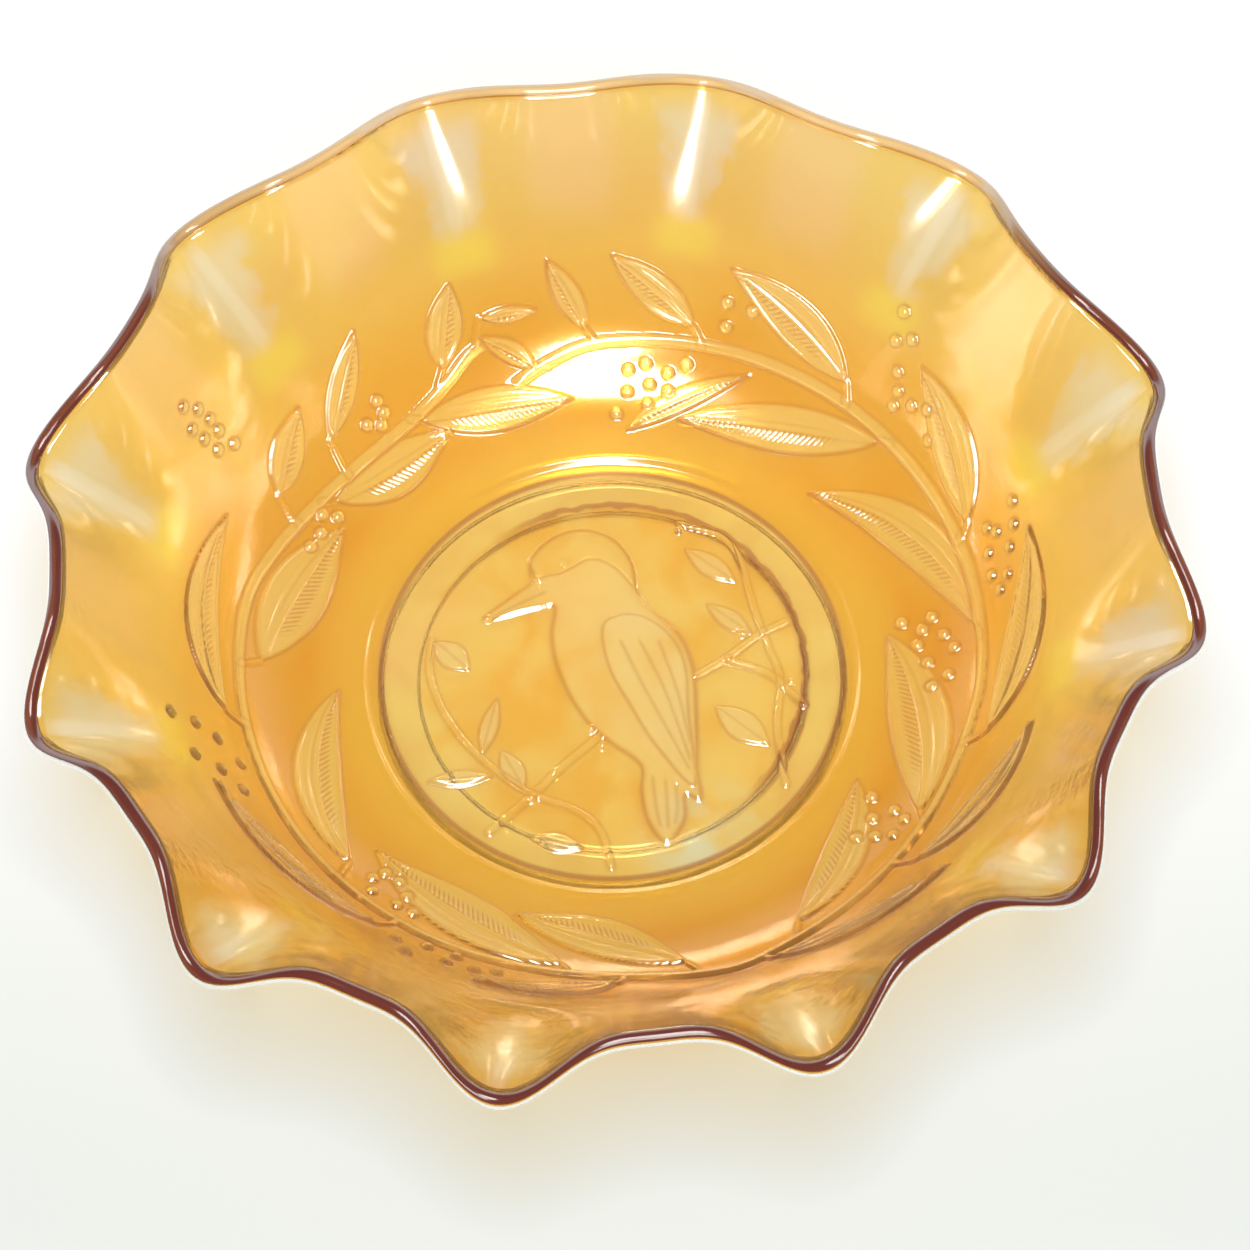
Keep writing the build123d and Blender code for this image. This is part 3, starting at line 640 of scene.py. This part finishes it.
def glass_material():
    """Amber glass whose tint goes by region: inner wall, floor, lip, outer wall, collar and underside."""
    material = bpy.data.materials.new("marigold_glass")
    material.use_nodes = True
    nodes, links = material.node_tree.nodes, material.node_tree.links
    nodes.clear()

    def attribute(name):
        """One of the values stored on the skin's points."""
        made = nodes.new("ShaderNodeAttribute")
        made.attribute_name = name
        return made.outputs["Fac"]

    def put(socket, value):
        """Sets a number or a colour on a socket, or links an output to it."""
        if isinstance(value, (int, float)):
            socket.default_value = value
        elif isinstance(value, tuple):
            socket.default_value = (*value, 1.0)
        else:
            links.new(value, socket)

    def math(operation, first, second):
        """One step of arithmetic on values, which may be numbers or outputs."""
        made = nodes.new("ShaderNodeMath")
        made.operation = operation
        put(made.inputs[0], first)
        put(made.inputs[1], second)
        return made.outputs[0]

    def span(value, low, high):
        """0 at low and 1 at high, or the other way round when low is the larger."""
        made = nodes.new("ShaderNodeMapRange")
        made.interpolation_type = "SMOOTHSTEP"
        made.inputs["From Min"].default_value = min(low, high)
        made.inputs["From Max"].default_value = max(low, high)
        if low > high:
            made.inputs["To Min"].default_value, made.inputs["To Max"].default_value = 1.0, 0.0
        links.new(value, made.inputs["Value"])
        return made.outputs["Result"]

    def blend(share, first, second, mode="MIX"):
        """First colour going over to the second, or multiplied by it, by the share."""
        made = nodes.new("ShaderNodeMix")
        made.data_type, made.blend_type = "RGBA", mode
        for index, value in ((0, share), (6, first), (7, second)):
            put(made.inputs[index], value)
        return made.outputs[2]

    def noise(scale, detail=2.0, rough=0.5, distort=0.0):
        """Cloudy values about 0.5 that stay fixed to the glass."""
        made = nodes.new("ShaderNodeTexNoise")
        made.inputs["Scale"].default_value = scale
        made.inputs["Detail"].default_value = detail
        made.inputs["Roughness"].default_value = rough
        made.inputs["Distortion"].default_value = distort
        links.new(place, made.inputs["Vector"])
        return made.outputs["Fac"]

    place = nodes.new("ShaderNodeTexCoord").outputs["Object"]
    zone, along = attribute("zone"), attribute("along")
    blade, line, flute = attribute("blade"), attribute("line"), attribute("flute")
    axes = nodes.new("ShaderNodeSeparateXYZ")
    links.new(place, axes.inputs[0])

    # inner face of the wall: pale patches up the lobes, partly clearer glass and partly painted reflection, a
    # painted glow of light under each, a painted pearly highlight along each, rose between
    wall = blend(span(along, 20.0, 62.0), WALL_LOW, WALL_HIGH)
    wall = blend(span(along, 9.0, 2.0), wall, WALL_RING)
    ground = math("MULTIPLY", span(along, 7.0, 12.0), span(along, 52.0, 40.0))
    ground = math("MULTIPLY", ground, span(noise(30.0), 0.2, 0.7))
    wall = blend(ground, wall, GROUND_SHADE, "MULTIPLY")
    wall = blend(math("MULTIPLY", blade, 0.85), wall, LEAF)
    hollow = math("MULTIPLY", span(flute, 0.45, 0.05), span(along, 50.0, 62.0))
    wall = blend(math("MULTIPLY", hollow, 0.45), wall, ROSE)
    widening = math("MULTIPLY", math("SUBTRACT", along, 66.0), 0.010)
    ragged = math("MULTIPLY", math("SUBTRACT", noise(90.0, 3.0, 0.6, 0.8), 0.5), 0.5)
    patch = span(math("ADD", flute, math("ADD", widening, ragged)), 0.78, 0.98)
    patch = math("MULTIPLY", patch, math("MULTIPLY", span(along, 49.0, 58.0), span(along, 82.0, 74.0)))
    # pale patch up each lobe: partly clearer glass, partly painted reflection of the bright surroundings
    wall = blend(math("MULTIPLY", patch, 0.85), wall, CLEAR_AND_REFLECTION)
    # painted light: a yellow glow at the foot of each lobe, under its highlight
    painted_glow = math("MULTIPLY", span(flute, 0.70, 0.98), math("MULTIPLY", span(along, 44.0, 50.0),
                                                           span(along, 58.0, 52.0)))
    wall = blend(math("MULTIPLY", painted_glow, 0.95), wall, GLOW_LIGHT)
    # painted highlight: a pale pearly streak down the middle of each lobe
    pearl_highlight = span(math("ADD", flute, math("MULTIPLY", ragged, 0.03)), 0.982, 0.999)
    pearl_highlight = math("MULTIPLY", pearl_highlight, math("MULTIPLY", span(along, 53.0, 60.0), span(along, 83.0, 77.0)))
    wall = blend(math("MULTIPLY", pearl_highlight, 0.7), wall, PEARL_HIGHLIGHT)
    # painted shade: the inner wall darkened towards the front (-y), outside the pale patches
    front = math("MULTIPLY", span(axes.outputs[1], -0.020, -0.085), span(along, 12.0, 30.0))
    front = math("MULTIPLY", front, math("SUBTRACT", 1.0, patch))
    wall = blend(math("MULTIPLY", front, 0.9), wall, FRONT_PAINTED_SHADE, "MULTIPLY")
    # floor: pale band over the collar, brighter golden clouds of painted caustic light, relief, serrated
    # line, teal spot, plum line around
    floor = blend(span(along, -11.9, -11.3), FLOOR_GOLD, COLLAR_PALE)
    caustic_mottle = span(noise(55.0, 4.0, 0.55, 0.9), 0.38, 0.64)
    floor = blend(math("MULTIPLY", caustic_mottle, 0.75), floor, FLOOR_CAUSTIC_LIGHT)
    medal = math("MULTIPLY", blade, span(noise(70.0, 4.0, 0.6, 0.5), 0.15, 0.65))
    floor = blend(medal, floor, MEDAL)
    side = span(math("ADD", axes.outputs[0], math("MULTIPLY", axes.outputs[1], 0.8)), -0.005, 0.022)
    nicks = math("MULTIPLY", math("SUBTRACT", noise(260.0, 2.0), 0.5), 2.4)
    edge = math("ADD", along, nicks)
    serrated = math("MULTIPLY", span(edge, -12.9, -12.2), span(edge, -10.8, -11.4))
    floor = blend(math("MULTIPLY", math("MULTIPLY", serrated, side), 0.9), floor, SERRATION)
    sheen = nodes.new("ShaderNodeVectorMath")
    sheen.operation = "DISTANCE"
    links.new(place, sheen.inputs[0])
    sheen.inputs[1].default_value = Vector(teal_centre) * MM
    teal = math("MULTIPLY", span(sheen.outputs["Value"], 0.018, 0.003), span(noise(120.0), 0.35, 0.6))
    floor = blend(math("MULTIPLY", teal, 0.9), floor, TEAL)
    floor = blend(span(along, -4.1, -3.7), floor, WALL_RING)
    ring_line = math("MULTIPLY", span(along, -4.9, -4.1), span(along, -2.9, -3.6))
    floor = blend(math("MULTIPLY", ring_line, 0.85), floor, RING_PLUM)
    inner = blend(span(zone, 0.2, 0.8), floor, wall)
    # dark outlines: partly film pooled along the relief, partly painted shade on its steep edges and creases
    inner = blend(math("MULTIPLY", line, 0.95), inner, CONTOUR_FILM_AND_SHADE)
    body = blend(span(zone, 1.9, 2.1), inner, WALL_HIGH)
    body = blend(span(zone, 3.3, 3.7), body, OUTER)
    body = blend(span(zone, 4.5, 4.9), body, FOOT)
    bore = math("MULTIPLY", span(along, -12.6, -11.9), span(along, -10.4, -11.1))
    bore = math("MULTIPLY", bore, math("MULTIPLY", span(zone, 4.6, 4.9), span(zone, 5.4, 5.1)))
    bore = math("MULTIPLY", bore, span(math("ADD", axes.outputs[0], axes.outputs[1]), -0.03, 0.02))
    body = blend(math("MULTIPLY", bore, span(noise(60.0), 0.25, 0.6)), body, RING_PLUM)
    cloud = span(noise(22.0, 4.0, 0.6, 0.4), 0.30, 0.72)
    body = blend(math("MULTIPLY", cloud, 0.25), body, CLOUD_SHADE, "MULTIPLY")
    # the film's pastel sheen drifts from pink through yellow to grey-green
    film = nodes.new("ShaderNodeValToRGB")
    ramp = film.color_ramp
    ramp.elements[0].position, ramp.elements[0].color = FILM[0][0], (*FILM[0][1], 1)
    ramp.elements[1].position, ramp.elements[1].color = FILM[-1][0], (*FILM[-1][1], 1)
    for position, colour in FILM[1:-1]:
        ramp.elements.new(position).color = (*colour, 1)
    links.new(noise(13.0, 3.0, 0.5, 1.2), film.inputs[0])
    body = blend(0.5, body, film.outputs[0], "MULTIPLY")

    bump = nodes.new("ShaderNodeBump")
    bump.inputs["Strength"].default_value = 0.12
    bump.inputs["Distance"].default_value = 0.0004
    links.new(noise(420.0), bump.inputs["Height"])
    shader = nodes.new("ShaderNodeBsdfPrincipled")
    for name, value in (("Roughness", 0.07), ("IOR", 1.5), ("Transmission Weight", 0.9),
                        ("Specular IOR Level", 0.3), ("Coat Weight", 1.0), ("Coat Roughness", 0.15),
                        ("Coat IOR", 1.75)):
        shader.inputs[name].default_value = value
    links.new(body, shader.inputs["Base Color"])
    links.new(bump.outputs[0], shader.inputs["Normal"])
    # light crosses two faces of the wall, so each face takes the square root of the tint
    half_tint = nodes.new("ShaderNodeGamma")
    half_tint.inputs["Gamma"].default_value = 0.5
    links.new(body, half_tint.inputs["Color"])
    cast = blend(math("MULTIPLY", span(along, 35.0, 55.0), 0.7), half_tint.outputs[0], CAST_LIGHT)
    through = nodes.new("ShaderNodeBsdfTransparent")
    links.new(cast, through.inputs["Color"])
    # rays from lamps and rays that a matt surface scatters pass straight through, tinted
    light_path = nodes.new("ShaderNodeLightPath")
    surface = shader.outputs[0]
    for kind in ("Is Diffuse Ray", "Is Shadow Ray"):
        mixed = nodes.new("ShaderNodeMixShader")
        links.new(light_path.outputs[kind], mixed.inputs[0])
        links.new(surface, mixed.inputs[1])
        links.new(through.outputs[0], mixed.inputs[2])
        surface = mixed.outputs[0]
    out = nodes.new("ShaderNodeOutputMaterial")
    links.new(surface, out.inputs["Surface"])
    return material


def lip_material():
    """Lip painted dark plum-brown as painted shade, turning to a lighter gold-brown along the back as painted
    light.
    """
    material = bpy.data.materials.new("plum_lip")
    material.use_nodes = True
    nodes, links = material.node_tree.nodes, material.node_tree.links
    shader = nodes["Principled BSDF"]
    drift = nodes.new("ShaderNodeTexNoise")
    drift.inputs["Scale"].default_value = 26.0
    drift.inputs["Detail"].default_value = 3.0
    place = nodes.new("ShaderNodeTexCoord").outputs["Object"]
    links.new(place, drift.inputs["Vector"])
    # painted shade: dark plum-brown over the lip
    tone = nodes.new("ShaderNodeMix")
    tone.data_type = "RGBA"
    links.new(drift.outputs["Fac"], tone.inputs[0])
    tone.inputs[6].default_value = (*LIP_SHADE_PLUM, 1)
    tone.inputs[7].default_value = (*LIP_SHADE_BROWN, 1)
    axes = nodes.new("ShaderNodeSeparateXYZ")
    links.new(place, axes.inputs[0])
    # painted light: lighter gold-brown towards the back (+y)
    behind = nodes.new("ShaderNodeMapRange")
    behind.interpolation_type = "SMOOTHSTEP"
    behind.inputs["From Min"].default_value = GOLD_FROM * MM
    behind.inputs["From Max"].default_value = GOLD_FULL * MM
    links.new(axes.outputs[1], behind.inputs["Value"])
    painted_back_light = nodes.new("ShaderNodeMix")
    painted_back_light.data_type = "RGBA"
    links.new(behind.outputs["Result"], painted_back_light.inputs[0])
    links.new(tone.outputs[2], painted_back_light.inputs[6])
    painted_back_light.inputs[7].default_value = (*LIP_LIGHT_GOLD, 1)
    links.new(painted_back_light.outputs[2], shader.inputs["Base Color"])
    shader.inputs["Roughness"].default_value = 0.12
    shader.inputs["IOR"].default_value = 1.5
    shader.inputs["Transmission Weight"].default_value = 0.3
    return material


bowl = bpy.data.objects.new("bowl_glass", build_mesh("bowl_glass"))
bpy.context.scene.collection.objects.link(bowl)
bowl.data.materials.append(glass_material())
bowl.data.materials.append(lip_material())
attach(bowl, "root")
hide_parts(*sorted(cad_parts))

# ------------------------------------------------------------------ floor, light and camera

# the paper's front tone is painted shade over its white
PAPER_FRONT_SHADE, PAPER_BACK = (0.63, 0.655, 0.625), (0.97, 0.965, 0.955)
GREY_UNTIL, WHITE_FROM = -130.0, 120.0          # y where the paper's front tone ends and the back's begins
TABLE_GAP = 0.05
ROOM_LIGHT, SWEEP_LIGHT = 0.15, 0.5


def paper_material():
    """White seamless paper, with painted shade greying it towards the front of the set."""
    material = bpy.data.materials.new("studio_paper")
    material.use_nodes = True
    nodes, links = material.node_tree.nodes, material.node_tree.links
    axes = nodes.new("ShaderNodeSeparateXYZ")
    links.new(nodes.new("ShaderNodeTexCoord").outputs["Object"], axes.inputs[0])
    fall = nodes.new("ShaderNodeMapRange")
    fall.interpolation_type = "SMOOTHSTEP"
    fall.inputs["From Min"].default_value = GREY_UNTIL * MM
    fall.inputs["From Max"].default_value = WHITE_FROM * MM
    links.new(axes.outputs[1], fall.inputs["Value"])
    # painted shade: greyer towards the front
    tone = nodes.new("ShaderNodeMix")
    tone.data_type = "RGBA"
    links.new(fall.outputs["Result"], tone.inputs[0])
    tone.inputs[6].default_value = (*PAPER_FRONT_SHADE, 1)
    tone.inputs[7].default_value = (*PAPER_BACK, 1)
    links.new(tone.outputs[2], nodes["Principled BSDF"].inputs["Base Color"])
    nodes["Principled BSDF"].inputs["Roughness"].default_value = 0.7
    return material


bpy.ops.mesh.primitive_plane_add(size=6.0, location=(0, 0, -TABLE_GAP * MM))
table = bpy.context.object
table.name = "studio_floor"
table.data.materials.append(paper_material())


def softbox(name, elevation, azimuth, distance, width, length, power):
    """Oval light aimed at the bowl; azimuth 0 is the camera's side."""
    data = bpy.data.lights.new(name, "AREA")
    data.shape, data.size, data.size_y, data.energy = "ELLIPSE", width, length, power
    lamp = bpy.data.objects.new(name, data)
    e, a = radians(elevation), radians(azimuth)
    lamp.location = Vector((sin(a) * cos(e), -cos(a) * cos(e), sin(e))) * distance
    lamp.rotation_euler = lamp.location.to_track_quat("Z", "Y").to_euler()
    bpy.context.scene.collection.objects.link(lamp)


softbox("overhead", elevation=76, azimuth=0, distance=1.2, width=0.50, length=0.58, power=12.5)
softbox("front", elevation=52, azimuth=3, distance=1.3, width=0.46, length=0.46, power=6.0)


def studio_world():
    """White sweep behind the bowl, brightest near the horizon, and a dim room on the other sides."""
    world = bpy.data.worlds.new("studio")
    world.use_nodes = True
    nodes, links = world.node_tree.nodes, world.node_tree.links
    heading = nodes.new("ShaderNodeSeparateXYZ")
    links.new(nodes.new("ShaderNodeTexCoord").outputs["Generated"], heading.inputs[0])
    shares = []
    for axis, low, high, start, end in ((1, -0.1, 0.7, 0.0, 1.0), (2, 0.30, 0.75, 1.0, 0.0)):
        share = nodes.new("ShaderNodeMapRange")
        share.interpolation_type = "SMOOTHSTEP"
        for name, value in (("From Min", low), ("From Max", high), ("To Min", start), ("To Max", end)):
            share.inputs[name].default_value = value
        links.new(heading.outputs[axis], share.inputs["Value"])
        shares.append(share.outputs["Result"])
    both = nodes.new("ShaderNodeMath")
    both.operation = "MULTIPLY"
    strength = nodes.new("ShaderNodeMath")
    strength.operation = "MULTIPLY_ADD"
    for index, share in enumerate(shares):
        links.new(share, both.inputs[index])
    links.new(both.outputs[0], strength.inputs[0])
    strength.inputs[1].default_value = SWEEP_LIGHT
    strength.inputs[2].default_value = ROOM_LIGHT
    background = nodes["Background"]
    background.inputs["Color"].default_value = (1.0, 0.995, 0.98, 1)
    links.new(strength.outputs[0], background.inputs["Strength"])
    return world


bpy.context.scene.world = studio_world()
bpy.context.scene.view_settings.view_transform = "Standard"

camera_distance, camera_elevation, camera_roll = 0.800, 60.247, -1.329
target = Vector((2.942, 13.706, 2.0)) * MM
frame_pixels, focal_pixels, sensor_width = 1250, 3744.19, 36.0
camera_data = bpy.data.cameras.new("camera")
camera_data.sensor_width = sensor_width
camera_data.lens = focal_pixels / frame_pixels * sensor_width
camera = bpy.data.objects.new("camera", camera_data)
bpy.context.scene.collection.objects.link(camera)
elevation = radians(camera_elevation)
back = Vector((0, -cos(elevation), sin(elevation)))
right = Vector((1, 0, 0))
up = back.cross(right)
roll = radians(camera_roll)
turned_right = right * cos(roll) + up * sin(roll)
turned_up = up * cos(roll) - right * sin(roll)
camera.matrix_world = Matrix.Translation(target + back * camera_distance) @ Matrix(
    (turned_right, turned_up, back)).transposed().to_4x4()
bpy.context.scene.camera = camera
